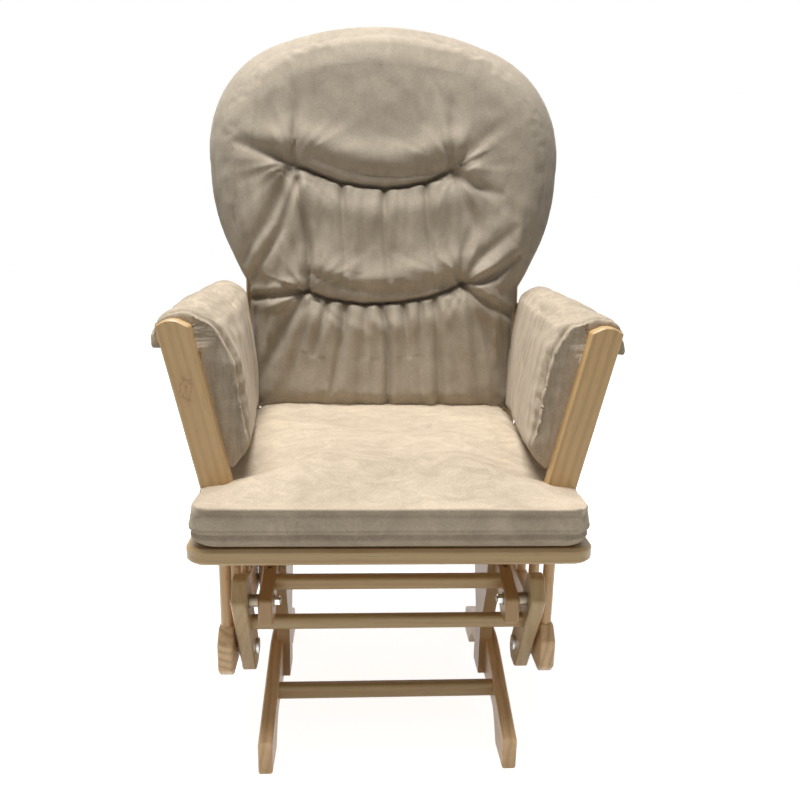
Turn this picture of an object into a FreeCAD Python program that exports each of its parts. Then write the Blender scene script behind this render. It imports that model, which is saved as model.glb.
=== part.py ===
import FreeCAD, Part
import math
import os
import re
import Sketcher

# Glider chair: a fixed wooden base, four swing links and a seat that hangs in them.
# X runs across the chair, the sitter faces -Y, Z is up. Inside this file depth is measured
# from the middle of the base, and every piece is then moved by DEPTH_SHIFT, so that the
# origin ends up on the floor under the middle of the whole chair.
# "left" and "right" are as seen by someone who stands in front of the chair.

doc = FreeCAD.newDocument("GliderChair")
sheet = doc.addObject("Spreadsheet::Sheet", "Sizes")

# Name, size in millimetres or degrees, what it measures
SIZES = [
    # Base
    ("base_inner", 162, "foot and hanger inner face from the middle plane"),
    ("base_board", 20, "thickness of the foot and hanger boards"),
    ("edge_break", 2, "chamfer along the long edges of boards"),
    ("small_round", 6, "rounding of the hangers' corners"),
    ("foot_length", 420, "foot board, front to back"),
    ("foot_end", 45, "height of the foot at its ends"),
    ("foot_crest", 114, "height where the foot's two slopes would meet"),
    ("foot_crest_round", 150, "radius of the crest"),
    ("foot_pad", 58, "length of the flat that stands on the floor, each end"),
    ("foot_arch", 40, "height of the arch under the foot"),
    ("foot_arch_run", 34, "length over which the arch rises"),
    ("foot_arch_round", 45, "radius at the shoulders of the arch"),
    ("post_board", 20, "thickness of the centre post"),
    ("post_lap", 10, "how deep the post is let into foot and hanger"),
    ("post_stem", 50, "width of the post's lower part"),
    ("post_head", 130, "width of the post's upper part"),
    ("post_bottom", 42, "underside of the post above the floor"),
    ("post_flare_low", 128, "height where the post starts to flare"),
    ("post_flare_high", 205, "height where the flare ends"),
    ("post_flare_round", 34, "radius of the flare"),
    ("post_top", 270, "top of the post inside the hanger"),
    ("hanger_half", 170, "hanger end from the middle of the base"),
    ("hanger_end_top", 244, "top edge at the hanger's ends"),
    ("hanger_crest", 285, "top edge in the middle"),
    ("hanger_crest_half", 30, "half length of the level crest"),
    ("hanger_under", 240, "underside in the middle"),
    ("ear_bottom", 205, "underside of the hanger's ears"),
    ("ear_length", 40, "length of an ear's level underside"),
    ("ear_rise", 35, "length over which the underside rises"),
    ("screw_hole_behind", 70, "access hole behind the hanger's end"),
    ("screw_hole_radius", 3.5, "access hole in the hanger's top edge"),
    ("screw_hole_deep", 14, "depth of the access hole"),
    # Stretchers
    ("stretcher_round", 7, "rounding of every stretcher's edges"),
    ("foot_stretcher_tall", 23, "height of the lower stretcher"),
    ("foot_stretcher_deep", 20, "depth of the lower stretcher"),
    ("foot_stretcher_ahead", 102, "lower stretcher in front of the base's middle"),
    ("foot_stretcher_up", 64, "axis of the lower stretcher above the floor"),
    ("hanger_stretcher_tall", 21, "height of the upper stretchers"),
    ("hanger_stretcher_deep", 20, "depth of the upper stretchers"),
    ("hanger_stretcher_ahead", 115, "upper stretchers from the base's middle"),
    ("hanger_stretcher_up", 248, "axis of the upper stretchers above the floor"),
    # Glide linkage
    ("pivot_half", 148, "upper pivots from the base's middle"),
    ("pivot_up", 235, "upper pivots above the floor"),
    ("link_drop", 104, "lower pivot below the upper one"),
    ("front_link_lean", 30.4, "slant of the front links, degrees"),
    ("rear_link_lean", -2.3, "slant of the rear links, degrees"),
    ("link_gap", 14, "space between hanger and link"),
    ("link_board", 21, "thickness of a link"),
    ("link_half_width", 24, "half width of a link"),
    ("link_shoulder", 8, "height of the shoulder above the upper pivot"),
    ("link_head", 40, "top of the link above the upper pivot"),
    ("link_crown", 20, "level top of the link"),
    ("link_crown_back", 4, "rear end of the level top behind the pivot"),
    ("link_tail", 38, "bottom of the link below the lower pivot"),
    ("link_round", 8, "rounding of a link's corners"),
    ("link_tail_round", 20, "rounding of a link's rear bottom corner"),
    ("link_stretcher_drop", 47, "link stretcher below the upper pivots"),
    ("link_stretcher_tall", 21, "height of the link stretchers"),
    ("link_stretcher_deep", 18, "depth of the link stretchers"),
    ("bearing_radius", 12, "outside of a link's bearing"),
    ("bolt_radius", 4, "pivot bolt"),
    ("running_gap", 0.05, "radial play of a bolt in its bearing"),
    ("open_pivot_play", 2.5, "radial play at the front lower pivots"),
    ("press_gap", 0.02, "radial play of a bearing in its link"),
    ("bolt_hole_gap", 0.3, "radial play of a bolt in a fixed board"),
    ("side_gap", 0.4, "play beside a moving link"),
    ("spacer_radius", 9, "outside of spacers and washers"),
    ("washer_board", 1.6, "thickness of a washer"),
    ("nut_across", 13, "width of a nut across its flats"),
    ("nut_board", 6.5, "height of a nut"),
    ("bolt_past_nut", 2, "bolt end beyond its nut"),
    ("head_radius", 8, "bolt head"),
    ("head_board", 4, "thickness of a bolt head"),
    # Lower side rails of the seat
    ("rail_gap", 5, "space between link and lower rail"),
    ("rail_board", 21, "thickness of a lower rail"),
    ("rail_half", 168, "half length of a lower rail"),
    ("rail_back", 18, "lower rail's middle behind the base's middle"),
    ("rail_bottom", 112, "underside of a lower rail"),
    ("rail_top", 185, "top edge of a lower rail"),
    ("rail_nose", 19, "height and length of the slope at the rail's ends"),
    ("rail_chin", 13, "chamfer under the rail's ends"),
    ("rail_round", 6, "rounding of the rail's corners"),
    ("rail_nut_recess", 9, "depth of the recess for a nut"),
    ("spindle_radius", 8.5, "lower spindles"),
    ("spindle_pitch", 93, "distance between lower spindles"),
    ("spindle_count", 4, "lower spindles on a side"),
    # Seat frame
    ("seat_bottom", 320, "underside of the seat frame"),
    ("seat_board", 22, "thickness of the seat frame"),
    ("seat_half", 268, "half width of the seat frame"),
    ("seat_ahead", 225, "front edge of the seat frame"),
    ("seat_behind", 330, "rear edge of the seat frame"),
    ("seat_corner", 30, "front corner radius seen from above"),
    ("seat_nose", 4, "chamfer along the seat frame's outer edge"),
    ("front_board_deep", 62, "front board, front to back"),
    ("back_board_deep", 60, "back board, front to back"),
    ("side_board_wide", 60, "side board, across"),
    ("slat_board", 12, "thickness of a seat slat"),
    ("slat_wide", 46, "width of a seat slat"),
    ("slat_count", 6, "seat slats"),
    # Arms
    ("arm_lean", 12.5, "outward lean of the arm supports, degrees"),
    ("arm_foot", 226, "middle of an arm support on the seat frame"),
    ("plank_ahead", 135, "front face of the front plank"),
    ("plank_board", 20, "thickness of the front plank"),
    ("plank_wide", 43, "width of the front plank"),
    ("plank_top", 622, "top of the front plank"),
    ("plank_crown", 8, "how far the plank's corners lie below its top"),
    ("plank_round", 5, "rounding of the plank's edges"),
    ("armrest_under", 588, "underside of the armrest"),
    ("armrest_board", 20, "thickness of the armrest"),
    ("armrest_wide", 56, "width of the armrest"),
    ("armrest_tail", 366, "rear end of the armrest"),
    ("arm_spindle_radius", 8, "spindles under the armrest"),
    ("arm_spindle_first", 20, "first arm spindle in front of the base's middle"),
    ("arm_spindle_pitch", 108, "distance between arm spindles"),
    ("arm_spindle_count", 3, "spindles under an armrest"),
    # Back
    ("back_stand", 305, "front of the back bow where it meets the seat"),
    ("back_lean", 8, "backward lean of the back, degrees"),
    ("bow_half", 255, "outside of the back bow from the middle plane"),
    ("bow_wide", 22, "width of the bow"),
    ("bow_board", 22, "thickness of the bow"),
    ("bow_straight", 450, "height of the bow's straight legs"),
    ("bow_break", 3, "chamfer along the bow's edges"),
    ("back_spindle_radius", 7, "back spindles"),
    ("back_spindle_pitch", 58, "distance between back spindles"),
    ("back_spindle_count", 7, "back spindles"),
    # Cushions
    ("rest_gap", 0.3, "air between a cushion and what holds it"),
    ("pad_gap", 1, "air between two cushions"),
    ("seat_pad_ahead", 230, "front of the seat cushion"),
    ("seat_pad_behind", 296, "rear of the seat cushion"),
    ("seat_pad_half", 264, "half width of the seat cushion's ears"),
    ("seat_pad_neck", 202, "half width of the seat cushion between the planks"),
    ("seat_pad_corner", 34, "corner radius of the ears"),
    ("seat_pad_edge", 58, "height of the seat cushion at its front edge"),
    ("seat_pad_tall", 86, "height of the seat cushion's crown"),
    ("seat_pad_draw", 5, "how far its sides draw in"),
    ("back_pad_low", 76, "bottom of the back cushion above the seat frame"),
    ("back_pad_tall", 656, "height of the back cushion"),
    ("back_pad_deep", 88, "thickness of the back cushion"),
    ("back_pad_half", 306, "half width of the back cushion at its widest"),
    ("back_pad_widest", 416, "height of the widest place on the cushion"),
    ("back_pad_waist", 227, "half width of the cushion between the arm pads"),
    ("back_pad_shoulder", 215, "height at which it widens above the arm pads"),
    ("tuft_radius", 300, "radius of the smile-shaped tucks"),
    ("tuft_half", 132, "half length of a tuck"),
    ("tuft_thick", 9, "radius of the tuck's groove"),
    ("tuft_sunk", 3, "axis of the groove in front of the cushion's face"),
    ("tuft_high", 401, "upper tuck above the cushion's bottom"),
    ("tuft_low", 206, "lower tuck above the cushion's bottom"),
    ("arm_pad_top", 22, "padding over the armrest"),
    ("arm_pad_flap", 7, "thickness of the pad's outer flap"),
    ("arm_pad_flap_drop", 8, "outer flap below the armrest"),
    ("arm_pad_inner_top", 13, "inner panel's thickness beside the armrest"),
    ("arm_pad_low", 420, "lower edge of the inner panel"),
    ("arm_pad_low_front", 216, "inner panel's face at its lower front"),
    ("arm_pad_low_rear", 229, "inner panel's face at its lower rear"),
    ("arm_pad_tail", 290, "rear end of the arm pad"),
    ("arm_pad_bulge", 5, "swell of the inner panel"),
]

for row, (alias, value, note) in enumerate(SIZES, start=1):
    sheet.set(f"A{row}", alias)
    sheet.set(f"B{row}", str(value))
    sheet.set(f"C{row}", note)
    sheet.setAlias(f"B{row}", alias)
doc.recompute()
NAMES = {alias for alias, value, note in SIZES}


def size(alias):
    return float(sheet.get(alias))


def linked(text):
    """Point every size named in a formula at its cell."""
    return re.sub(r"[a-z_]+", lambda m: "Sizes." + m[0] if m[0] in NAMES else m[0], text)


def bind(item, prop, text):
    item.setExpression(prop, linked(text))


SEAT_TOP = "(seat_bottom + seat_board)"
BOW_REACH = "(back_stand + bow_board * cos(back_lean) + (bow_straight + bow_half) * sin(back_lean))"
DEPTH_SHIFT = f"((seat_pad_ahead - {BOW_REACH}) / 2)"
LINK_INNER = "(base_inner + base_board + link_gap)"
LINK_OUTER = f"({LINK_INNER} + link_board)"
RAIL_INNER = f"({LINK_OUTER} + rail_gap)"
SIDES = ((-1, "left"), (1, "right"))
ENDS = ((-1, "front"), (1, "rear"))


def place(item, across="0", deep="0", up="0", axis=None, angle=None):
    """Put an item where formulas say, with an optional turn in degrees."""
    if axis is not None:
        item.Placement = FreeCAD.Placement(FreeCAD.Vector(), FreeCAD.Rotation(axis, 0))
        bind(item, "Placement.Rotation.Angle", str(angle))
    bind(item, "Placement.Base.x", across)
    bind(item, "Placement.Base.y", f"{deep} + {DEPTH_SHIFT}")
    bind(item, "Placement.Base.z", up)


X_AXIS = FreeCAD.Vector(1, 0, 0)
Y_AXIS = FreeCAD.Vector(0, 1, 0)


def origin_plane(body, role):
    return next(f for f in body.Origin.OriginFeatures if f.Role == role)


def outline(body, role, corners):
    """A closed sketch of straight sides, each corner held by two formulas."""
    sketch = body.newObject("Sketcher::SketchObject", "Outline")
    sketch.AttachmentSupport = [(origin_plane(body, role), "")]
    sketch.MapMode = "FlatFace"
    count = len(corners)
    ring = [FreeCAD.Vector(100 * math.cos(2 * math.pi * i / count),
                           100 * math.sin(2 * math.pi * i / count), 0) for i in range(count)]
    for i in range(count):
        sketch.addGeometry(Part.LineSegment(ring[i], ring[(i + 1) % count]), False)
    for i in range(count):
        sketch.addConstraint(Sketcher.Constraint("Coincident", i, 2, (i + 1) % count, 1))
    for i, corner in enumerate(corners):
        for kind, start, text in (("DistanceX", ring[i].x, corner[0]), ("DistanceY", ring[i].y, corner[1])):
            held = sketch.addConstraint(Sketcher.Constraint(kind, -1, 1, i, 1, start))
            bind(sketch, f"Constraints[{held}]", text)
    return sketch


def round_corners(body, sketch, corners):
    """Round the board's upright edges at the corners that name a radius."""
    for radius in sorted({c[2] for c in corners if len(c) > 2}):
        spots = [sketch.Placement.multVec(sketch.Geometry[i].StartPoint)
                 for i, c in enumerate(corners) if len(c) > 2 and c[2] == radius]
        normal = sketch.Placement.Rotation.multVec(FreeCAD.Vector(0, 0, 1))
        names = []
        for number, edge in enumerate(body.Tip.Shape.Edges, start=1):
            line = edge.lastVertex().Point - edge.firstVertex().Point
            if line.Length < 1e-6 or line.cross(normal).Length > 1e-6 * line.Length:
                continue
            middle = edge.firstVertex().Point
            if any((middle - spot).cross(normal).Length < 1e-4 for spot in spots):
                names.append(f"Edge{number}")
        soften(body, names, radius)


def soften(body, names, radius):
    base = body.Tip
    fillet = body.newObject("PartDesign::Fillet", "Rounding")
    fillet.Base = (base, names)
    bind(fillet, "Radius", radius)
    base.Visibility = False
    doc.recompute()


def break_rims(body, normal, width):
    """Break the rim of the two broad faces of a board."""
    base = body.Tip
    flat = [(face.Area, number) for number, face in enumerate(base.Shape.Faces, start=1)
            if isinstance(face.Surface, Part.Plane) and face.Surface.Axis.cross(normal).Length < 1e-6]
    broad = sorted(flat, reverse=True)[:2]
    chamfer = body.newObject("PartDesign::Chamfer", "BrokenRim")
    chamfer.Base = (base, [f"Face{number}" for area, number in broad])
    bind(chamfer, "Size", width)
    base.Visibility = False
    doc.recompute()


ROLE_NORMAL = {
    "YZ_Plane": FreeCAD.Vector(1, 0, 0),
    "XZ_Plane": FreeCAD.Vector(0, 1, 0),
    "XY_Plane": FreeCAD.Vector(0, 0, 1),
}


def board(name, role, corners, thick, backwards=False, rim="edge_break"):
    """A flat board cut to an outline, with rounded corners and rims."""
    body = doc.addObject("PartDesign::Body", name)
    body.Label = name
    sketch = outline(body, role, corners)
    pad = body.newObject("PartDesign::Pad", "Thickness")
    pad.Profile = sketch
    pad.Reversed = backwards
    bind(pad, "Length", thick)
    doc.recompute()
    round_corners(body, sketch, corners)
    if rim:
        break_rims(body, ROLE_NORMAL[role], rim)
    return body


def cut_from(body, kind, sizes, spot, turn=None):
    """Take a plain cylinder or box out of a body and make sure that it bites."""
    before = body.Tip.Shape.Volume
    tool = body.newObject("PartDesign::Subtractive" + kind, "Cut")
    if turn is not None:
        tool.Placement = FreeCAD.Placement(FreeCAD.Vector(), FreeCAD.Rotation(*turn))
    for prop, text in sizes.items():
        bind(tool, prop, text)
    for letter, text in zip("xyz", spot):
        bind(tool, f"Placement.Base.{letter}", text)
    doc.recompute()
    if body.Tip.Shape.Volume > before - 1:
        raise RuntimeError(f"{body.Label}: a cut removed nothing")


def bore_across(body, side, deep, up, radius, start, length):
    """Drill along X from a depth under the inner face, on either side of the chair."""
    first = start if side > 0 else f"-({start}) - ({length})"
    cut_from(body, "Cylinder", {"Radius": radius, "Height": length}, (first, deep, up), (Y_AXIS, 90))


def cylinder(radius, height, across, deep, up):
    """A round bar along X, from across to across + height."""
    bar = doc.addObject("Part::Cylinder", "Bar")
    bind(bar, "Radius", radius)
    bind(bar, "Height", height)
    place(bar, across, deep, up, Y_AXIS, 90)
    return bar


def ring(outer, inner, height, across, deep, up):
    return cut(cylinder(outer, height, across, deep, up), cylinder(inner, height, across, deep, up))


def cut(base, tool):
    result = doc.addObject("Part::Cut", "Cut")
    result.Base = base
    result.Tool = tool
    return result


def common(base, tool):
    result = doc.addObject("Part::Common", "Common")
    result.Base = base
    result.Tool = tool
    return result


def fuse(*shapes):
    result = doc.addObject("Part::MultiFuse", "Fuse")
    result.Shapes = list(shapes)
    return result


def group(name, pieces):
    """Like pieces that share one node as separate solids."""
    result = doc.addObject("Part::Compound", name)
    result.Links = pieces
    result.Label = name
    return result


def spanning(side, start, height):
    """Lower end in X of something that runs outward from start by height, on either side."""
    return start if side > 0 else f"-({start}) - ({height})"


# Base: feet, posts and hangers

def foot(side, word):
    half = "foot_length / 2"
    arch = f"({half} - foot_pad)"
    corners = [
        (f"-{half}", "0"),
        (f"-{half}", "foot_end", "stretcher_round"),
        ("0", "foot_crest", "foot_crest_round"),
        (half, "foot_end", "stretcher_round"),
        (half, "0"),
        (arch, "0"),
        (f"{arch} - foot_arch_run", "foot_arch", "foot_arch_round"),
        (f"-{arch} + foot_arch_run", "foot_arch", "foot_arch_round"),
        (f"-{arch}", "0"),
    ]
    body = board(f"foot_{word}", "YZ_Plane", corners, "base_board", backwards=side < 0)
    housing(body, side, "post_stem", "post_bottom", "foot_crest - post_bottom")
    place(body, f"{side} * base_inner")


def housing(body, side, wide, low, tall):
    """The recess in a board's inner face that takes the centre post."""
    first = "0" if side > 0 else "-post_lap"
    box = {"Length": "post_lap", "Width": wide, "Height": tall}
    cut_from(body, "Box", box, (first, f"-{wide} / 2", low))


def centre_post(side, word):
    stem = "post_stem / 2"
    head = "post_head / 2"
    corners = [
        (f"-{stem}", "post_bottom"),
        (stem, "post_bottom"),
        (stem, "post_flare_low", "post_flare_round"),
        (head, "post_flare_high", "post_flare_round"),
        (head, "post_top"),
        (f"-{head}", "post_top"),
        (f"-{head}", "post_flare_high", "post_flare_round"),
        (f"-{stem}", "post_flare_low", "post_flare_round"),
    ]
    body = board(f"centre_post_{word}", "YZ_Plane", corners, "post_board", backwards=side < 0, rim=None)
    place(body, f"{side} * (base_inner + post_lap - post_board)")


def hanger(side, word):
    ear = "(hanger_half - ear_length)"
    corners = [
        ("-hanger_half", "ear_bottom", "small_round"),
        ("-hanger_half", "hanger_end_top", "small_round"),
        ("-hanger_crest_half", "hanger_crest", "hanger_crest_half"),
        ("hanger_crest_half", "hanger_crest", "hanger_crest_half"),
        ("hanger_half", "hanger_end_top", "small_round"),
        ("hanger_half", "ear_bottom", "small_round"),
        (ear, "ear_bottom", "stretcher_round"),
        (f"{ear} - ear_rise", "hanger_under", "stretcher_round"),
        (f"-{ear} + ear_rise", "hanger_under", "stretcher_round"),
        (f"-{ear}", "ear_bottom", "stretcher_round"),
    ]
    body = board(f"hanger_{word}", "YZ_Plane", corners, "base_board", backwards=side < 0)
    housing(body, side, "post_head", "ear_bottom", "post_top - ear_bottom")
    for end, _ in ENDS:
        bore_across(body, side, f"{end} * pivot_half", "pivot_up", "bolt_radius + bolt_hole_gap", "0",
                    "base_board")
        slope = "(hanger_crest - hanger_end_top) / (hanger_half - hanger_crest_half)"
        top = f"hanger_end_top + screw_hole_behind * {slope}"
        cut_from(body, "Cylinder", {"Radius": "screw_hole_radius", "Height": "screw_hole_deep * 2"},
                 (f"{side} * base_board / 2", f"{end} * (hanger_half - screw_hole_behind)",
                  f"{top} - screw_hole_deep"))
    place(body, f"{side} * base_inner")


def stretcher(name, half, tall, deep, at_y, at_z):
    """A rail with well rounded edges that runs across the chair."""
    corners = [
        (f"-{deep} / 2", f"-{tall} / 2", "stretcher_round"),
        (f"{deep} / 2", f"-{tall} / 2", "stretcher_round"),
        (f"{deep} / 2", f"{tall} / 2", "stretcher_round"),
        (f"-{deep} / 2", f"{tall} / 2", "stretcher_round"),
    ]
    body = board(name, "YZ_Plane", corners, f"2 * {half}", rim=None)
    place(body, f"-{half}", at_y, at_z)


def base():
    for side, word in SIDES:
        foot(side, word)
        centre_post(side, word)
        hanger(side, word)
    stretcher("foot_stretcher", "base_inner", "foot_stretcher_tall", "foot_stretcher_deep",
              "-foot_stretcher_ahead", "foot_stretcher_up")
    for end, word in ENDS:
        stretcher(f"hanger_stretcher_{word}", "base_inner", "hanger_stretcher_tall", "hanger_stretcher_deep",
                  f"{end} * hanger_stretcher_ahead", "hanger_stretcher_up")


# Glide linkage: links, bearings, bolts, nuts and spacers

def link_lean(end):
    return "front_link_lean" if end < 0 else "rear_link_lean"


def lower_pivot(end):
    """Depth of a lower pivot from the base's middle."""
    return f"({end} * (pivot_half - link_drop * tan({link_lean(end)})))"


def link(end, end_word, side, word):
    lean = link_lean(end)
    wide = f"link_half_width / cos({lean})"
    tail = "(link_drop + link_tail)"
    flip = -end
    corners = [
        (f"{flip} * ({tail} * tan({lean}) - {wide})", f"-{tail}", "small_round"),
        (f"{flip} * (-link_shoulder * tan({lean}) - {wide})", "link_shoulder", "link_round"),
        (f"{flip} * (link_crown_back - link_crown)", "link_head", "link_round"),
        (f"{flip} * link_crown_back", "link_head", "link_round"),
        (f"{flip} * ({wide} - link_half_width * tan({lean}))", "link_half_width", "link_round"),
        (f"{flip} * ({tail} * tan({lean}) + {wide})", f"-{tail}", "link_tail_round"),
    ]
    body = board(f"{end_word}_link_{word}", "YZ_Plane", corners, "link_board", backwards=side < 0)
    seat_radius = "bearing_radius + press_gap"
    bore_across(body, side, "0", "0", seat_radius, "0", "link_board")
    bore_across(body, side, f"{flip} * link_drop * tan({lean})", "-link_drop", seat_radius, "0", "link_board")
    place(body, f"{side} * {LINK_INNER}", f"{end} * pivot_half", "pivot_up")


def bearings(end, end_word):
    """The sleeves that are pressed into the links; the open pivots have a wider bore."""
    snug = "bolt_radius + running_gap"
    loose = "bolt_radius + open_pivot_play"
    pieces = []
    for side, _ in SIDES:
        across = spanning(side, LINK_INNER, "link_board")
        pieces.append(ring("bearing_radius", snug, "link_board", across, f"{end} * pivot_half", "pivot_up"))
        bore = loose if end < 0 else snug
        pieces.append(ring("bearing_radius", bore, "link_board", across, lower_pivot(end),
                           "pivot_up - link_drop"))
    group(f"{end_word}_link_bearings", pieces)


def hex_nut(across, deep, up):
    prism = doc.addObject("Part::Prism", "Hexagon")
    prism.Polygon = 6
    bind(prism, "Circumradius", "nut_across / 2 / cos(30)")
    bind(prism, "Height", "nut_board")
    place(prism, across, deep, up, Y_AXIS, 90)
    return cut(prism, cylinder("bolt_radius + running_gap", "nut_board", across, deep, up))


def upper_hardware(end, end_word):
    """Bolt, nut, washer and spacer of the upper pivots, all fixed in the hanger."""
    bolts, nuts, spacers = [], [], []
    deep = f"{end} * pivot_half"
    inside = "(base_inner - washer_board - nut_board - bolt_past_nut)"
    head = f"({LINK_OUTER} + side_gap)"
    for side, _ in SIDES:
        shank_long = f"({head} - {inside})"
        shank = cylinder("bolt_radius", shank_long, spanning(side, inside, shank_long), deep, "pivot_up")
        top = cylinder("head_radius", "head_board", spanning(side, head, "head_board"), deep, "pivot_up")
        bolts.append(fuse(shank, top))
        nut_at = "(base_inner - washer_board - nut_board)"
        nuts.append(hex_nut(spanning(side, nut_at, "nut_board"), deep, "pivot_up"))
        hole = "bolt_radius + running_gap"
        washer_at = spanning(side, "(base_inner - washer_board)", "washer_board")
        spacers.append(ring("spacer_radius", hole, "washer_board", washer_at, deep, "pivot_up"))
        long = "(link_gap - side_gap)"
        spacer_at = spanning(side, "(base_inner + base_board)", long)
        spacers.append(ring("spacer_radius", hole, long, spacer_at, deep, "pivot_up"))
    group(f"upper_bolts_{end_word}", bolts)
    return nuts, spacers


def lower_hardware(end, end_word):
    """Bolt, nut and spacer of the lower pivots, all fixed in the lower rail."""
    bolts, nuts, spacers = [], [], []
    deep = lower_pivot(end)
    up = "pivot_up - link_drop"
    head = f"({LINK_INNER} - side_gap - head_board)"
    nut_at = f"({RAIL_INNER} + rail_board - rail_nut_recess)"
    tip = f"({nut_at} + nut_board + bolt_past_nut)"
    cover = "bearing_radius" if end < 0 else "head_radius"
    for side, _ in SIDES:
        shank_long = f"({tip} - {head})"
        shank = cylinder("bolt_radius", shank_long, spanning(side, head, shank_long), deep, up)
        top = cylinder(cover, "head_board", spanning(side, head, "head_board"), deep, up)
        bolts.append(fuse(shank, top))
        nuts.append(hex_nut(spanning(side, nut_at, "nut_board"), deep, up))
        long = "(rail_gap - side_gap)"
        spacer_at = spanning(side, f"({LINK_OUTER} + side_gap)", long)
        spacers.append(ring("spacer_radius", "bolt_radius + running_gap", long, spacer_at, deep, up))
    group(f"lower_bolts_{end_word}", bolts)
    return nuts, spacers


def linkage():
    upper_nuts, upper_spacers, lower_nuts, lower_spacers = [], [], [], []
    for end, end_word in ENDS:
        for side, word in SIDES:
            link(end, end_word, side, word)
        drop_y = f"{end} * (pivot_half - link_stretcher_drop * tan({link_lean(end)}))"
        stretcher(f"{end_word}_link_stretcher", LINK_INNER, "link_stretcher_tall", "link_stretcher_deep",
                  drop_y, "pivot_up - link_stretcher_drop")
        bearings(end, end_word)
        nuts, spacers = upper_hardware(end, end_word)
        upper_nuts += nuts
        upper_spacers += spacers
        nuts, spacers = lower_hardware(end, end_word)
        lower_nuts += nuts
        lower_spacers += spacers
    group("upper_nuts", upper_nuts)
    group("upper_spacers", upper_spacers)
    group("lower_nuts", lower_nuts)
    group("lower_spacers", lower_spacers)


# Seat: lower rails, spindles, frame and slats

def lower_rail(side, word):
    front = "(rail_back - rail_half)"
    rear = "(rail_back + rail_half)"
    corners = [
        (front, "rail_bottom + rail_chin", "rail_round"),
        (front, "rail_top - rail_nose", "rail_round"),
        (f"{front} + rail_nose", "rail_top", "rail_round"),
        (f"{rear} - rail_nose", "rail_top", "rail_round"),
        (rear, "rail_top - rail_nose", "rail_round"),
        (rear, "rail_bottom + rail_chin", "rail_round"),
        (f"{rear} - rail_chin", "rail_bottom", "rail_round"),
        (f"{front} + rail_chin", "rail_bottom", "rail_round"),
    ]
    body = board(f"lower_rail_{word}", "YZ_Plane", corners, "rail_board", backwards=side < 0)
    for end, _ in ENDS:
        spot = (lower_pivot(end), "pivot_up - link_drop")
        bore_across(body, side, *spot, "bolt_radius + bolt_hole_gap", "0", "rail_board")
        bore_across(body, side, *spot, "spacer_radius + bolt_hole_gap", "rail_board - rail_nut_recess",
                    "rail_nut_recess")
    place(body, f"{side} * {RAIL_INNER}")


def lower_spindles(side, word):
    """Short round spindles between the lower rail and the seat frame."""
    pieces = []
    count = int(size("spindle_count"))
    for number in range(count):
        bar = doc.addObject("Part::Cylinder", "LowerBar")
        bind(bar, "Radius", "spindle_radius")
        bind(bar, "Height", "seat_bottom - rail_top")
        place(bar, f"{side} * ({RAIL_INNER} + rail_board / 2)",
              f"rail_back + ({number} - ({count} - 1) / 2) * spindle_pitch", "rail_top")
        pieces.append(bar)
    group(f"lower_spindles_{word}", pieces)


def seat_frame():
    front = "-seat_ahead"
    inner = "(seat_half - side_board_wide)"
    front_board = board("seat_front_board", "XY_Plane", [
        ("-seat_half", f"{front} + front_board_deep"),
        ("-seat_half", front, "seat_corner"),
        ("seat_half", front, "seat_corner"),
        ("seat_half", f"{front} + front_board_deep"),
    ], "seat_board", rim=None)
    break_outer_rim(front_board, ["ahead", "side"])
    place(front_board, up="seat_bottom")
    back_board = board("seat_back_board", "XY_Plane", [
        ("-seat_half", "seat_behind - back_board_deep"),
        ("seat_half", "seat_behind - back_board_deep"),
        ("seat_half", "seat_behind", "seat_nose * 2"),
        ("-seat_half", "seat_behind", "seat_nose * 2"),
    ], "seat_board", rim=None)
    break_outer_rim(back_board, ["behind", "side"])
    place(back_board, up="seat_bottom")
    long = "seat_ahead + seat_behind - front_board_deep - back_board_deep"
    for side, word in SIDES:
        corners = [
            (f"{side} * {inner}", f"{front} + front_board_deep"),
            (f"{side} * seat_half", f"{front} + front_board_deep"),
            (f"{side} * seat_half", "seat_behind - back_board_deep"),
            (f"{side} * {inner}", "seat_behind - back_board_deep"),
        ]
        side_board = board(f"seat_side_board_{word}", "XY_Plane", corners, "seat_board", rim=None)
        break_outer_rim(side_board, ["side"])
        place(side_board, up="seat_bottom")
    slats = []
    count = int(size("slat_count"))
    for number in range(count):
        slat = doc.addObject("Part::Box", "Slat")
        bind(slat, "Length", f"2 * {inner}")
        bind(slat, "Width", "slat_wide")
        bind(slat, "Height", "slat_board")
        pitch = f"({long}) / {count}"
        place(slat, f"-{inner}", f"{front} + front_board_deep + ({number} + 0.5) * {pitch} - slat_wide / 2",
              f"{SEAT_TOP} - slat_board")
        slats.append(slat)
    group("seat_slats", slats)


def break_outer_rim(body, where):
    """Break the upper and lower edge of a seat board along the outside of the chair."""
    half, ahead, behind = size("seat_half"), -size("seat_ahead"), size("seat_behind")
    corner = max(size("seat_corner"), 2 * size("seat_nose"))
    names = []
    for number, edge in enumerate(body.Tip.Shape.Edges, start=1):
        points = [edge.valueAt(edge.FirstParameter + t * (edge.LastParameter - edge.FirstParameter))
                  for t in (0, 0.5, 1)]
        level = max(p.z for p in points) - min(p.z for p in points) < 1e-6
        outside = (("side" in where and all(abs(p.x) > half - 1e-4 for p in points))
                   or ("ahead" in where and all(p.y < ahead + 1e-4 for p in points))
                   or ("behind" in where and all(p.y > behind - 1e-4 for p in points)))
        bent = isinstance(edge.Curve, Part.Circle) and edge.Curve.Radius <= corner + 1e-4
        if level and (outside or bent):
            names.append(f"Edge{number}")
    base = body.Tip
    chamfer = body.newObject("PartDesign::Chamfer", "BrokenNose")
    chamfer.Base = (base, names)
    bind(chamfer, "Size", "seat_nose")
    base.Visibility = False
    doc.recompute()


# Arms: front planks, armrests and leaning spindles

def arm_middle(up):
    """Middle of the leaning arm supports at a height."""
    return f"(arm_foot + ({up} - {SEAT_TOP}) * tan(arm_lean))"


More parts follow.
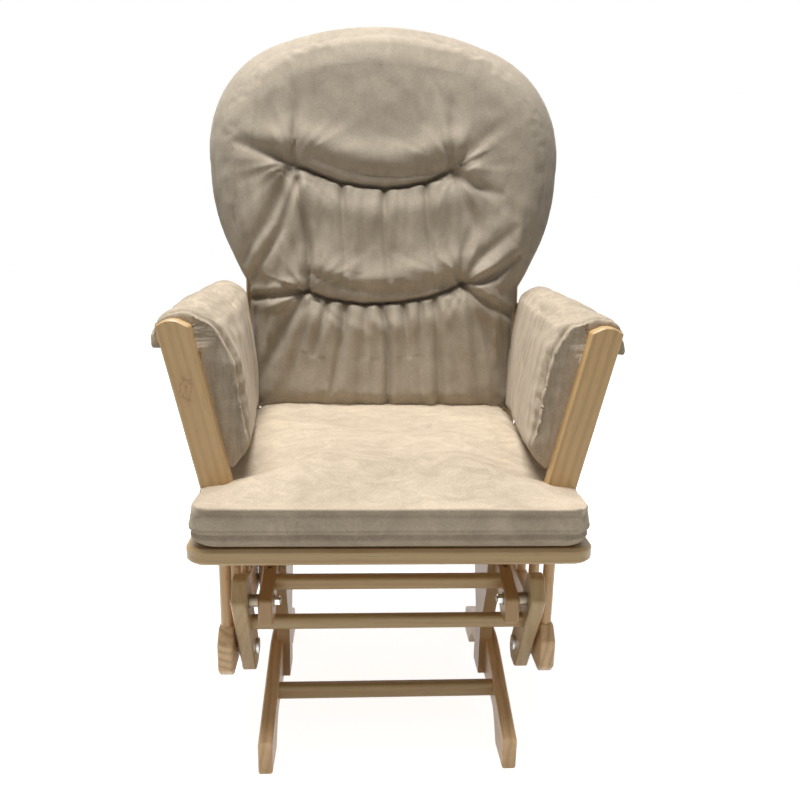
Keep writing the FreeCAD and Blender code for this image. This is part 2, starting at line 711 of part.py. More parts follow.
def arm_plank(side, word):
    half = "plank_wide / 2 / cos(arm_lean)"
    low = SEAT_TOP
    shoulder = "(plank_top - plank_crown)"
    corners = [
        (f"{side} * ({arm_middle(low)} - {half})", low),
        (f"{side} * ({arm_middle(low)} + {half})", low),
        (f"{side} * ({arm_middle(shoulder)} + {half})", shoulder, "plank_round"),
        (f"{side} * ({arm_middle('plank_top')} + {half} / 3)", "plank_top", "plank_wide / 2"),
        (f"{side} * ({arm_middle('plank_top')} - {half} / 3)", "plank_top", "plank_wide / 2"),
        (f"{side} * ({arm_middle(shoulder)} - {half})", shoulder, "plank_round"),
    ]
    body = board(f"arm_plank_{word}", "XZ_Plane", corners, "plank_board", backwards=True)
    place(body, deep="-plank_ahead")


def armrest(side, word):
    inner = "bow_half"
    outer = "(bow_half + armrest_wide)"
    front = "(plank_board - plank_ahead)"
    corners = [
        (f"{side} * {inner}", front),
        (f"{side} * {outer}", front),
        (f"{side} * {outer}", "armrest_tail", "armrest_wide / 2.2"),
        (f"{side} * {inner}", "armrest_tail", "small_round"),
    ]
    body = board(f"armrest_{word}", "XY_Plane", corners, "armrest_board")
    place(body, up="armrest_under")


def slab(low, high):
    """A wide layer of space between two heights, for trimming leaning pieces."""
    box = doc.addObject("Part::Box", "Slab")
    bind(box, "Length", "4 * seat_half")
    bind(box, "Width", "4 * seat_behind")
    bind(box, "Height", f"{high} - {low}")
    place(box, "-2 * seat_half", "-2 * seat_behind", low)
    return box


def arm_spindles(side, word):
    """Straight spindles that lean out with the plank and stop under the armrest."""
    pieces = []
    for number in range(int(size("arm_spindle_count"))):
        bar = doc.addObject("Part::Cylinder", "LeaningBar")
        bind(bar, "Radius", "arm_spindle_radius")
        bind(bar, "Height", "plank_top")
        below = "(plank_top / 4)"
        place(bar, f"{side} * (arm_foot - {below} * sin(arm_lean))",
              f"-arm_spindle_first + {number} * arm_spindle_pitch",
              f"{SEAT_TOP} - {below} * cos(arm_lean)", Y_AXIS, f"{side} * arm_lean")
        pieces.append(common(bar, slab(SEAT_TOP, "armrest_under")))
    group(f"arm_spindles_{word}", pieces)


# Back: bent bow and spindles

def lean_back(item, across="0", out="0", along="0"):
    """Place an item in the leaning plane of the back; out is behind the plane, along is up it."""
    deep = f"back_stand + {out} * cos(back_lean) + ({along}) * sin(back_lean)"
    up = f"{SEAT_TOP} - {out} * sin(back_lean) + ({along}) * cos(back_lean)"
    place(item, across, deep, up, X_AXIS, "-back_lean")


def arch(half, thick, out):
    """A leaning slab with a round head, as wide as twice its half width."""
    legs = doc.addObject("Part::Box", "Legs")
    bind(legs, "Length", f"2 * {half}")
    bind(legs, "Width", thick)
    bind(legs, "Height", "bow_straight + 4 * bow_board")
    lean_back(legs, f"-({half})", out, "-4 * bow_board")
    head = doc.addObject("Part::Cylinder", "Head")
    bind(head, "Radius", half)
    bind(head, "Height", thick)
    deep = f"back_stand + (bow_straight) * sin(back_lean) + ({out} + {thick}) * cos(back_lean)"
    up = f"{SEAT_TOP} + (bow_straight) * cos(back_lean) - ({out} + {thick}) * sin(back_lean)"
    place(head, "0", deep, up, X_AXIS, "90 - back_lean")
    return fuse(legs, head)


def back():
    """A bent bow that stands on the seat frame, with straight spindles inside it."""
    outer = arch("bow_half", "bow_board", "0")
    inner = arch("(bow_half - bow_wide)", "3 * bow_board", "-bow_board")
    ring_shape = cut(outer, inner)
    doc.recompute()
    rounded = doc.addObject("Part::Chamfer", "BrokenBow")
    rounded.Base = ring_shape
    rounded.Edges = [(number, size("bow_break"), size("bow_break"))
                     for number, edge in enumerate(ring_shape.Shape.Edges, start=1) if runs_along_bow(edge)]
    high = "2 * bow_straight + bow_half"
    bow = common(rounded, slab(SEAT_TOP, high))
    bow.Label = "back_bow"
    bars = []
    count = int(size("back_spindle_count"))
    for number in range(count):
        bar = doc.addObject("Part::Cylinder", "BackBar")
        bind(bar, "Radius", "back_spindle_radius")
        bind(bar, "Height", "bow_straight + bow_half + 2 * bow_board")
        lean_back(bar, f"({number} - ({count} - 1) / 2) * back_spindle_pitch", "bow_board / 2", "-2 * bow_board")
        inside = arch("(bow_half - bow_wide)", "3 * bow_board", "-bow_board")
        bars.append(common(common(bar, inside), slab(SEAT_TOP, high)))
    group("back_spindles", bars)


def runs_along_bow(edge):
    """True for the bow's long edges, false for the ones across its ends."""
    return edge.Length > 2 * max(size("bow_wide"), size("bow_board"))


# Cushions: closed forms lofted through lines and arcs

def stretch(start, middle, end):
    """A straight edge, or an arc where a middle point is given."""
    if middle is None:
        return Part.makeLine(FreeCAD.Vector(*start), FreeCAD.Vector(*end))
    return Part.Arc(FreeCAD.Vector(*start), FreeCAD.Vector(*middle), FreeCAD.Vector(*end)).toShape()


def symmetric_outline(ends, middles, crown, lift):
    """A closed wire, the same on both sides of the middle plane.

    ends run up the right side, middles lie on the arcs between them, and crown is the middle
    of the last stretch, from side to side. lift turns a flat point into a point in space.
    """
    def flip(point):
        return None if point is None else (-point[0], point[1])

    def piece(start, middle, end):
        return stretch(lift(start), None if middle is None else lift(middle), lift(end))

    edges = [piece(flip(ends[0]), None, ends[0])]
    edges += [piece(*trio) for trio in zip(ends, middles, ends[1:])]
    edges.append(piece(ends[-1], crown, flip(ends[-1])))
    edges += [piece(flip(end), flip(middle), flip(start))
              for start, middle, end in reversed(list(zip(ends, middles, ends[1:])))]
    return Part.Wire(edges)


def soft_solid(name, shape):
    item = doc.addObject("Part::Feature", name)
    item.Label = name
    item.Shape = shape
    return item


def pad_outline(front_half, rear_half, ahead, behind, inset, height, draw):
    """Plan of a pad at a height: four round corners joined by sides that may draw in a little."""
    corner = size("seat_pad_corner") - inset / 2
    bend = corner * (1 - math.sqrt(0.5))
    front_half, rear_half = front_half - inset, rear_half - inset
    ahead, behind = ahead + inset, behind - inset
    waist = ((front_half + rear_half) / 2 - draw, (ahead + behind) / 2)
    ends = [(front_half - corner, ahead), (front_half, ahead + corner), (rear_half, behind - corner),
            (rear_half - corner, behind)]
    middles = [(front_half - bend, ahead + bend), waist if draw else None,
               (rear_half - bend, behind - bend)]
    return symmetric_outline(ends, middles, None, lambda p: (p[0], p[1], height))


def seat_cushion():
    """A front bar whose ears lie before the planks, and the body between the arm pads."""
    edge, tall, gap = size("seat_pad_edge"), size("seat_pad_tall"), size("pad_gap")
    ahead, behind, wide = -size("seat_pad_ahead"), size("seat_pad_behind"), size("seat_pad_half")
    ear_back = -size("plank_ahead") - gap
    bar = [pad_outline(wide, wide, ahead, ear_back, inset, height, 0)
           for inset, height in ((9, 0), (1, 0.2 * edge), (0, 0.5 * edge), (3, 0.8 * edge), (9, edge),
                                 (22, edge + 6))]
    neck, rear = size("seat_pad_neck"), size("arm_pad_low_rear") - gap
    body = [pad_outline(neck, rear, ahead + 8, behind, inset, height, size("seat_pad_draw"))
            for inset, height in ((9, 0), (1, 0.2 * tall), (0, 0.5 * tall), (5, 0.78 * tall),
                                  (20, 0.92 * tall), (60, tall))]
    shape = Part.makeLoft(bar, True, True).fuse(Part.makeLoft(body, True, True))
    pad = soft_solid("seat_cushion", shape)
    place(pad, up=f"{SEAT_TOP} + rest_gap")


def back_pad_outline(inset, out):
    """The back cushion's outline in the plane of the back, at a distance in front of the bow."""
    top = size("back_pad_tall") - inset
    waist = size("back_pad_waist") - inset
    wide = size("back_pad_half") - inset
    shoulder = size("back_pad_shoulder")
    widest = size("back_pad_widest")
    corner = size("seat_pad_corner") - inset / 4
    draw = size("seat_pad_draw")
    bend = corner * (1 - math.sqrt(0.5))
    rise = top - widest
    spread = wide - waist - draw
    low = inset / 8
    ends = [(waist - corner, low), (waist, low + corner), (waist + draw, shoulder), (wide, widest),
            (0.56 * wide, widest + 0.87 * rise)]
    middles = [(waist - bend, low + bend), (waist - draw, (low + corner + shoulder) / 2),
               (waist + draw + 0.72 * spread, shoulder + 0.45 * (widest - shoulder)),
               (0.9 * wide, widest + 0.55 * rise)]
    return symmetric_outline(ends, middles, (0, top), lambda p: (p[0], out, p[1]))


def tuck(height):
    """The round groove that a curved row of stitches pulls into the cushion's face."""
    radius, half = size("tuft_radius"), size("tuft_half")
    swing = math.degrees(math.asin(half / radius))
    out = -size("back_pad_deep") - size("tuft_sunk")
    circle = Part.makeTorus(radius, size("tuft_thick"), FreeCAD.Vector(0, out, height + radius),
                            FreeCAD.Vector(0, 1, 0), -180, 180, 2 * swing)
    circle.rotate(FreeCAD.Vector(0, out, height + radius), FreeCAD.Vector(0, 1, 0), 180 - swing)
    return circle


def back_cushion():
    deep = size("back_pad_deep")
    sections = [(16, 0), (2, -0.2 * deep), (0, -0.4 * deep), (8, -0.64 * deep), (28, -0.86 * deep),
                (76, -deep)]
    shape = Part.makeLoft([back_pad_outline(inset, out) for inset, out in sections], True, True)
    for height in (size("tuft_high"), size("tuft_low")):
        shape = shape.cut(tuck(height))
    pad = soft_solid("back_cushion", shape)
    lean_back(pad, out="(-rest_gap)", along="back_pad_low")


def arm_pad_section(side, deep, low_face, inset):
    """Cross-section of the sleeve over an armrest, with its panel down the inside."""
    gap = size("rest_gap")
    inner = size("bow_half") - gap
    outer = size("bow_half") + size("armrest_wide") + gap
    under = size("armrest_under")
    over = under + size("armrest_board") + gap
    flap = outer + size("arm_pad_flap") - inset / 2
    flap_low = under - size("arm_pad_flap_drop")
    top = over + size("arm_pad_top") - inset
    face = inner - size("arm_pad_inner_top") + inset / 2
    low = size("arm_pad_low")
    lean = math.tan(math.radians(size("arm_lean")))
    seat_top = size("seat_bottom") + size("seat_board")
    away = size("arm_spindle_radius") / math.cos(math.radians(size("arm_lean"))) + gap
    behind_low = size("arm_foot") + (low - seat_top) * lean - away
    bend = seat_top + (inner + away - size("arm_foot")) / lean
    bulge = size("arm_pad_bulge")
    points = [
        (outer, flap_low), (flap, flap_low), (flap, over - 4), (face, over - 6), (low_face, low),
        (behind_low, low), (inner, bend), (inner, over), (outer, over),
    ]
    p = [(side * x, deep, z) for x, z in points]
    crown = (side * (flap + face) / 2, deep, top)
    swell = (side * ((face + low_face) / 2 - bulge), deep, (over - 6 + low) / 2)
    middles = [None, None, crown, swell, None, None, None, None, None]
    return Part.Wire([stretch(*trio) for trio in zip(p, middles, p[1:] + p[:1])])


def arm_pad(side, word):
    front = size("plank_board") - size("plank_ahead") + size("rest_gap")
    rear = size("arm_pad_tail")
    low_front, low_rear = size("arm_pad_low_front"), size("arm_pad_low_rear")
    step = 22
    swell = 7
    sections = [
        arm_pad_section(side, front, low_front, swell),
        arm_pad_section(side, front + step, low_front, 0),
        arm_pad_section(side, rear - step, low_rear, 0),
        arm_pad_section(side, rear, low_rear, swell),
    ]
    pad = soft_solid(f"arm_pad_{word}", Part.makeLoft(sections, True, True))
    place(pad)


def seat():
    for side, word in SIDES:
        lower_rail(side, word)
        lower_spindles(side, word)
        arm_plank(side, word)
        armrest(side, word)
        arm_spindles(side, word)
        arm_pad(side, word)
    seat_frame()
    back()
    seat_cushion()
    back_cushion()


NODES = (
    [f"{piece}_{word}" for piece in ("foot", "centre_post", "hanger", "front_link", "rear_link", "lower_rail",
                                     "lower_spindles", "seat_side_board", "arm_plank", "armrest",
                                     "arm_spindles", "arm_pad") for _, word in SIDES]
    + ["foot_stretcher", "hanger_stretcher_front", "hanger_stretcher_rear", "front_link_stretcher",
       "rear_link_stretcher", "front_link_bearings", "rear_link_bearings", "upper_bolts_front",
       "upper_bolts_rear", "lower_bolts_front", "lower_bolts_rear", "upper_nuts", "upper_spacers",
       "lower_nuts", "lower_spacers", "seat_front_board", "seat_back_board", "seat_slats", "back_bow",
       "back_spindles", "seat_cushion", "back_cushion"]
)


def export():
    failed = [f"{item.Label} in {[p.Label for p in item.InList]}" for item in doc.Objects
              if "Invalid" in item.State or "Error" in item.State]
    if failed:
        raise RuntimeError("not made: " + ", ".join(failed))
    os.makedirs("parts", exist_ok=True)
    for name in NODES:
        item = doc.getObjectsByLabel(name)[0]
        if item.Shape.isNull() or not item.Shape.isValid():
            raise RuntimeError(f"{name}: no valid shape")
        item.Shape.exportStep(f"parts/{name}.step")


base()
linkage()
seat()
doc.recompute()
export()
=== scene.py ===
import bpy
import bmesh
import math
import numpy as np
from mathutils import Matrix, Vector, noise


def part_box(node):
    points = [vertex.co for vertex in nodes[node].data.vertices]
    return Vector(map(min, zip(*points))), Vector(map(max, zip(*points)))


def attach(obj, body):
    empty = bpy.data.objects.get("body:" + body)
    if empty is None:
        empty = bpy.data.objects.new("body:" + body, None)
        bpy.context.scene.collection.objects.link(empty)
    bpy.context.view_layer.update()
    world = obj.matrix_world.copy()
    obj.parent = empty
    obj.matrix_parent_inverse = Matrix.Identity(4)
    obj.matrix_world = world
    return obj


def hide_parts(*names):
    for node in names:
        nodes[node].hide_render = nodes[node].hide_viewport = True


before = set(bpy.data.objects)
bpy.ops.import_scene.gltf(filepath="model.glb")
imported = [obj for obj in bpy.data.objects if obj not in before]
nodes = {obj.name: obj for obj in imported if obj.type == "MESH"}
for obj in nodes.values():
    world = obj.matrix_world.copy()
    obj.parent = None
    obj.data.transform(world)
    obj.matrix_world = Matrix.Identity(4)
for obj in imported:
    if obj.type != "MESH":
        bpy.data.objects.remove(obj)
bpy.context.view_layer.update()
scene = bpy.context.scene
scene.view_settings.view_transform = "Standard"


# Studio: a pale floor that runs to white, a broad soft lamp overhead and a weak one in front,
# so that level cloth is bright and upright cloth is about half as bright. The camera stands
# where the photographer stood, a little above the arms.

def lamp(name, place, target, size, power):
    """A round soft lamp that the camera doesn't see, turned to its target."""
    data = bpy.data.lights.new(name, "AREA")
    data.shape = "DISK"
    data.size = size
    data.energy = power
    item = bpy.data.objects.new(name, data)
    item.location = place
    item.rotation_euler = (Vector(target) - Vector(place)).to_track_quat("-Z", "Y").to_euler()
    item.visible_camera = False
    scene.collection.objects.link(item)


camera_data = bpy.data.cameras.new("Camera")
camera_data.lens = 36.31
camera_data.shift_x = -0.0217
camera_data.shift_y = 0.0485
camera = bpy.data.objects.new("Camera", camera_data)
camera.location = (-0.0475, -1.2895, 0.7477)
look_down, look_right, lean_of_camera = 0.259, 0.077, 0.027  # radians
turn = Matrix.Rotation(-look_right, 3, "Z") @ Matrix.Rotation(math.pi / 2 - look_down, 3, "X")
camera.rotation_euler = (turn @ Matrix.Rotation(lean_of_camera, 3, "Z")).to_euler()
scene.collection.objects.link(camera)
scene.camera = camera

lamp("Overhead", place=(-0.30, -0.14, 3.1), target=(0, 0, 0.4), size=1.6, power=103)
lamp("Low front", place=(-0.5, -2.9, 0.25), target=(0, 0, 0.1), size=1.2, power=3)

floor_half = 9
floor_corners = [(floor_half * x, floor_half * y, 0) for x, y in ((-1, -1), (1, -1), (1, 1), (-1, 1))]
floor_mesh = bpy.data.meshes.new("Floor")
floor_mesh.from_pydata(floor_corners, [], [(0, 1, 2, 3)])
floor = bpy.data.objects.new("Floor", floor_mesh)
scene.collection.objects.link(floor)
floor.location.z = -0.0005  # just under the feet


def white_for_the_eye(tree, seen, unseen):
    """One colour for the camera and for mirrors, and another for the light that bounces on."""
    path = tree.nodes.new("ShaderNodeLightPath")
    either = tree.nodes.new("ShaderNodeMath")
    either.operation = "MAXIMUM"
    tree.links.new(path.outputs["Is Camera Ray"], either.inputs[0])
    tree.links.new(path.outputs["Is Glossy Ray"], either.inputs[1])
    mix = tree.nodes.new("ShaderNodeMix")
    mix.data_type = "RGBA"
    mix.inputs["A"].default_value = (*unseen, 1)
    mix.inputs["B"].default_value = (*seen, 1)
    tree.links.new(either.outputs[0], mix.inputs["Factor"])
    return mix.outputs["Result"]


floor_paint = bpy.data.materials.new("Pale floor")
floor_paint.use_nodes = True
floor_tree = floor_paint.node_tree
floor_shader = floor_tree.nodes["Principled BSDF"]
floor_shader.inputs["Roughness"].default_value = 0.9
floor_shader.inputs["Specular IOR Level"].default_value = 0.1
floor_colour = white_for_the_eye(floor_tree, (0.95, 0.95, 0.945), (0.58, 0.57, 0.55))
floor_tree.links.new(floor_colour, floor_shader.inputs["Base Color"])
floor_glow = white_for_the_eye(floor_tree, (0.85, 0.85, 0.85), (0, 0, 0))
floor_tree.links.new(floor_glow, floor_shader.inputs["Emission Color"])
floor_shader.inputs["Emission Strength"].default_value = 1.0
floor_mesh.materials.append(floor_paint)

world = bpy.data.worlds.new("Studio")
scene.world = world
world.use_nodes = True
world_tree = world.node_tree
world_colour = white_for_the_eye(world_tree, (1, 1, 1), (0.21, 0.21, 0.212))
world_tree.links.new(world_colour, world_tree.nodes["Background"].inputs["Color"])


# Base: two feet, two flared centre posts and two hangers, joined by three stretchers with
# dowels and screws. It stands still while the seat swings.

# Every board and spindle is pale, straight-grained rubberwood under satin clear lacquer. The
# grain group draws growth bands, short dark pores and slow tone changes along the local Z of
# its vector, and each board turns that vector to its own length.

def group_with(name, inputs, outputs):
    """A new shader group with its sockets, and its two end nodes."""
    tree = bpy.data.node_groups.new(name, "ShaderNodeTree")
    for label, kind, value in inputs:
        socket = tree.interface.new_socket(label, in_out="INPUT", socket_type=kind)
        if value is not None:
            socket.default_value = value
    for label, kind in outputs:
        tree.interface.new_socket(label, in_out="OUTPUT", socket_type=kind)
    return tree, tree.nodes.new("NodeGroupInput"), tree.nodes.new("NodeGroupOutput")


def node(tree, kind, links=(), **settings):
    """Add a shader node, set its properties and values, and plug what feeds it."""
    item = tree.nodes.new("ShaderNode" + kind)
    for key, value in settings.items():
        if hasattr(item, key):
            setattr(item, key, value)
        else:
            item.inputs[key.replace("_", " ")].default_value = value
    for source, target in links:
        tree.links.new(source, item.inputs[target])
    return item


def remap(tree, source, low, high, to_low, to_high):
    item = node(tree, "MapRange", [(source, "Value")], From_Min=low, From_Max=high,
                To_Min=to_low, To_Max=to_high)
    return item.outputs["Result"]


def blend_colour(tree, factor, first, second, kind="MIX"):
    """Mix two colours; each is a socket or a plain colour."""
    item = tree.nodes.new("ShaderNodeMix")
    item.data_type = "RGBA"
    item.blend_type = kind
    for value, label in ((factor, "Factor"), (first, "A"), (second, "B")):
        socket = next(s for s in item.inputs if s.name == label and s.enabled)
        if isinstance(value, bpy.types.NodeSocket):
            tree.links.new(value, socket)
        else:
            socket.default_value = value
    return next(s for s in item.outputs if s.enabled)


def stretched(tree, vector, scale):
    return node(tree, "Mapping", [(vector, "Vector")], Scale=scale).outputs["Vector"]


def product(tree, first, second):
    return node(tree, "Math", [(first, 0), (second, 1)], operation="MULTIPLY").outputs[0]


grain, grain_in, grain_out = group_with(
    "Rubberwood grain",
    [("Vector", "NodeSocketVector", None), ("Pale", "NodeSocketColor", (0.60, 0.40, 0.20, 1)),
     ("Band", "NodeSocketColor", (0.47, 0.30, 0.135, 1)), ("Figure", "NodeSocketFloat", 0.5)],
    [("Color", "NodeSocketColor"), ("Roughness", "NodeSocketFloat"), ("Height", "NodeSocketFloat")])
along = grain_in.outputs["Vector"]
figure = grain_in.outputs["Figure"]
wander = node(grain, "TexNoise", [(stretched(grain, along, (9, 9, 2.2)), "Vector")],
              Scale=1, Detail=3)
bent = node(grain, "VectorMath", [(wander.outputs["Color"], 0)], operation="SCALE")
bent.inputs["Scale"].default_value = 0.022
moved = node(grain, "VectorMath", [(along, 0), (bent.outputs[0], 1)], operation="ADD").outputs[0]
# Growth bands wrap the board's length, and streaks and pores run along it
rings = node(grain, "TexWave", [(stretched(grain, moved, (1, 1, 0.07)), "Vector")],
             wave_type="RINGS", rings_direction="Z", Scale=26, Distortion=1.6, Detail=3,
             Detail_Scale=1.4)
bands = product(grain, remap(grain, rings.outputs["Fac"], 0.35, 0.95, 0.0, 1.0), figure)
streak = node(grain, "TexNoise", [(stretched(grain, moved, (170, 170, 4)), "Vector")],
              Scale=1, Detail=4, Roughness=0.6)
streaks = product(grain, remap(grain, streak.outputs["Fac"], 0.42, 0.70, 0.0, 0.55), figure)
pore = node(grain, "TexNoise", [(stretched(grain, moved, (1100, 1100, 42)), "Vector")],
            Scale=1, Detail=2)
pores = remap(grain, pore.outputs["Fac"], 0.62, 0.72, 0.0, 1.0)
tone = node(grain, "TexNoise", [(stretched(grain, along, (7, 7, 2.5)), "Vector")],
            Scale=1, Detail=2)
tones = remap(grain, tone.outputs["Fac"], 0.3, 0.7, 0, 0.35)
pore_brown, tone_tan = (0.20, 0.11, 0.045, 1), (0.93, 0.80, 0.60, 1)
colour = blend_colour(grain, bands, grain_in.outputs["Pale"], grain_in.outputs["Band"])
colour = blend_colour(grain, streaks, colour, grain_in.outputs["Band"])
colour = blend_colour(grain, remap(grain, pores, 0, 1, 0, 0.38), colour, pore_brown)
colour = blend_colour(grain, tones, colour, tone_tan, "MULTIPLY")
grain.links.new(colour, grain_out.inputs["Color"])
grain.links.new(remap(grain, streak.outputs["Fac"], 0.3, 0.7, 0.36, 0.50),
                grain_out.inputs["Roughness"])
grain.links.new(remap(grain, pores, 0, 1, 1.0, 0.0), grain_out.inputs["Height"])

# How the vector turns for a board that runs along each axis of the chair
TURNS = {"X": (0, math.pi / 2, 0), "Y": (math.pi / 2, 0, 0), "Z": (0, 0, 0)}
HONEY_BOARD = (0.68, 0.46, 0.215, 1)


def rubberwood(name, run, offset, figure=0.5, pale=HONEY_BOARD, lean=0.0):
    """Wood that runs along an axis, or leans sideways from Z; the offset picks its own grain."""
    paint = bpy.data.materials.new(name)
    paint.use_nodes = True
    tree = paint.node_tree
    shader = tree.nodes["Principled BSDF"]
    place = tree.nodes.new("ShaderNodeTexCoord")
    turned = node(tree, "Mapping", [(place.outputs["Object"], "Vector")], Location=offset)
    turned.inputs["Rotation"].default_value = (0, lean, 0) if lean else TURNS[run]
    wood = tree.nodes.new("ShaderNodeGroup")
    wood.node_tree = grain
    tree.links.new(turned.outputs["Vector"], wood.inputs["Vector"])
    wood.inputs["Pale"].default_value = pale
    wood.inputs["Figure"].default_value = figure
    tree.links.new(wood.outputs["Color"], shader.inputs["Base Color"])
    tree.links.new(wood.outputs["Roughness"], shader.inputs["Roughness"])
    bump = node(tree, "Bump", [(wood.outputs["Height"], "Height")], Strength=0.25, Distance=0.0004)
    tree.links.new(bump.outputs["Normal"], shader.inputs["Normal"])
    shader.inputs["Coat Weight"].default_value = 0.25
    shader.inputs["Coat Roughness"].default_value = 0.3
    return paint


def finish(names, paint):
    """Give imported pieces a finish; the piece itself stays as it was made."""
    for name in names:
        for surface in nodes[name].material_slots:
            surface.material = paint


# The feet are painted paler as painted light, for the bright light by the floor; the posts and
# hangers are a redder brown painted darker, and the stretchers duller and darker, both as painted
# shade under the chair.
SIDES = ("left", "right")
PAINTED_LIGHT_BOARD = (0.90, 0.62, 0.34, 1)
SHADED_RED_BOARD = (0.47, 0.28, 0.115, 1)
PAINTED_SHADE_BOARD = (0.53, 0.38, 0.18, 1)
for number, side in enumerate(SIDES):
    shift = 0.37 * number
    finish([f"foot_{side}"],
           rubberwood(f"Foot wood {side}", "Y", (0.31 + shift, 0.05, 0.12), 0.35, PAINTED_LIGHT_BOARD))
    finish([f"centre_post_{side}"],
           rubberwood(f"Post wood {side}", "Z", (0.11 + shift, 0.4, 0.0), 0.6, SHADED_RED_BOARD))
    finish([f"hanger_{side}"],
           rubberwood(f"Hanger wood {side}", "Y", (0.07 + shift, 0.2, 0.5), 0.6, SHADED_RED_BOARD))
for number, name in enumerate(
        ("foot_stretcher", "hanger_stretcher_front", "hanger_stretcher_rear")):
    title = name.replace("_", " ").capitalize()
    finish([name], rubberwood(title, "X", (0.2 * number, 0.3, 0.1), 0.7, PAINTED_SHADE_BOARD))


# Swing links: four short boards that hang from the hangers and carry the seat's lower rails.
# A turned stretcher joins each pair, so that both sides swing together.

# The links and their stretchers take the duller, darker board colour, which is painted shade under
# the seat.
for number, name in enumerate(
        ("front_link_left", "front_link_right", "rear_link_left", "rear_link_right")):
    title = name.replace("_", " ").capitalize()
    finish([name], rubberwood(title, "Z", (0.23 * number, 0.1, 0.3), 0.55, PAINTED_SHADE_BOARD))
finish(["front_link_stretcher"],
       rubberwood("Front link stretcher", "X", (0.5, 0.13, 0.02), 0.8, PAINTED_SHADE_BOARD))
finish(["rear_link_stretcher"],
       rubberwood("Rear link stretcher", "X", (0.1, 0.43, 0.2), 0.8, PAINTED_SHADE_BOARD))


# Hardware: bolts, spacers and nuts join the links, and steel bearing sleeves are pressed into
# them. The nuts and lower bolts are bright zinc; the upper bolts and spacers are dull yellow.

def plated(name, colour, rough):
    """Plated steel with a faint cloudy wear."""
    paint = bpy.data.materials.new(name)
    paint.use_nodes = True
    tree = paint.node_tree
    shader = tree.nodes["Principled BSDF"]
    place = tree.nodes.new("ShaderNodeTexCoord").outputs["Object"]
    cloud = node(tree, "TexNoise", [(place, "Vector")], Scale=160, Detail=4)
    worn = [channel * 0.8 for channel in colour]
    tree.links.new(blend_colour(tree, cloud.outputs["Fac"], (*worn, 1), (*colour, 1)),
                   shader.inputs["Base Color"])
    tree.links.new(remap(tree, cloud.outputs["Fac"], 0.3, 0.7, rough - 0.07, rough + 0.09),
                   shader.inputs["Roughness"])
    shader.inputs["Metallic"].default_value = 1.0
    return paint


zinc = plated("Zinc plate", (0.74, 0.75, 0.75), 0.26)
dull_zinc = plated("Dull yellow zinc", (0.33, 0.28, 0.20), 0.42)
sleeve_steel = plated("Bearing steel", (0.40, 0.38, 0.35), 0.40)
finish(["upper_nuts", "lower_nuts", "lower_bolts_front", "lower_bolts_rear"], zinc)
finish(["upper_bolts_front", "upper_bolts_rear", "upper_spacers", "lower_spacers"], dull_zinc)
finish(["front_link_bearings", "rear_link_bearings"], sleeve_steel)


# Seat frame: two lower rails hang in the links and carry four short spindles each; the seat
# boards above are joined flush, with slats let in between them.

# The lower rails and lower spindles take the paler board colour, which is painted light.
for number, side in enumerate(SIDES):
    shift = 0.29 * number
    finish([f"lower_rail_{side}"],
           rubberwood(f"Lower rail wood {side}", "Y", (0.17 + shift, 0.3, 0.2), 0.5, PAINTED_LIGHT_BOARD))
    finish([f"lower_spindles_{side}"],
           rubberwood(f"Lower spindle wood {side}", "Z", (shift, 0.21, 0.6), 0.4, PAINTED_LIGHT_BOARD))
    finish([f"seat_side_board_{side}"],
           rubberwood(f"Side board wood {side}", "Y", (0.41 + shift, 0, 0.3)))
# The front board takes the duller, darker board colour, which is painted shade from the cushion above
# it.
finish(["seat_front_board"],
       rubberwood("Front board wood", "X", (0.3, 0.14, 0.45), 0.6, PAINTED_SHADE_BOARD))
finish(["seat_back_board"], rubberwood("Back board wood", "X", (0.1, 0.54, 0.25), 0.6))
finish(["seat_slats"], rubberwood("Slat wood", "X", (0.0, 0.22, 0.05), 0.4))


# Arms and back: wide front planks lean outwards, an armrest runs back from each to the bent
# bow, and straight spindles fill the sides and the bow. The left plank shows a small knot.

arm_lean = math.radians(12.5)
for sign, side in ((-1, "left"), (1, "right")):
    lean = -sign * arm_lean
    finish([f"arm_plank_{side}"],
           rubberwood(f"Plank wood {side}", "Z", (0.13 * sign, 0.31, 0.17), 0.42, lean=lean))
    finish([f"armrest_{side}"],
           rubberwood(f"Armrest wood {side}", "Y", (0.4 * sign, 0.11, 0.07)))
    finish([f"arm_spindles_{side}"],
           rubberwood(f"Arm spindle wood {side}", "Z", (0.05, 0.2, 0.1 * sign), 0.4, lean=lean))


def add_knot(paint, centre, reach):
    """Draw an oval knot over the grain: brown rings that fade past its reach."""
    tree = paint.node_tree
    shader = tree.nodes["Principled BSDF"]
    wood_colour = shader.inputs["Base Color"].links[0].from_socket
    place = tree.nodes.new("ShaderNodeTexCoord").outputs["Object"]
    away = node(tree, "VectorMath", [(place, 0)], operation="SUBTRACT")
    away.inputs[1].default_value = centre
    share = node(tree, "VectorMath", [(away.outputs[0], 0)], operation="DIVIDE")
    share.inputs[1].default_value = reach
    radius = node(tree, "VectorMath", [(share.outputs[0], 0)], operation="LENGTH").outputs["Value"]
    wobble = node(tree, "TexNoise", [(place, "Vector")], Scale=150, Detail=3)
    uneven = remap(tree, wobble.outputs["Fac"], 0.3, 0.7, -0.2, 0.2)
    radius = node(tree, "Math", [(radius, 0), (uneven, 1)], operation="ADD").outputs[0]
    phase = remap(tree, radius, 0, 1, 0, 11.0)
    waves = node(tree, "Math", [(phase, 0)], operation="COSINE").outputs[0]
    strength = product(tree, remap(tree, waves, 0.2, 1.0, 0.15, 0.75),
                       remap(tree, radius, 0.85, 1.35, 1, 0))
    knot_brown = (0.40, 0.21, 0.085, 1)
    tree.links.new(blend_colour(tree, strength, wood_colour, knot_brown),
                   shader.inputs["Base Color"])


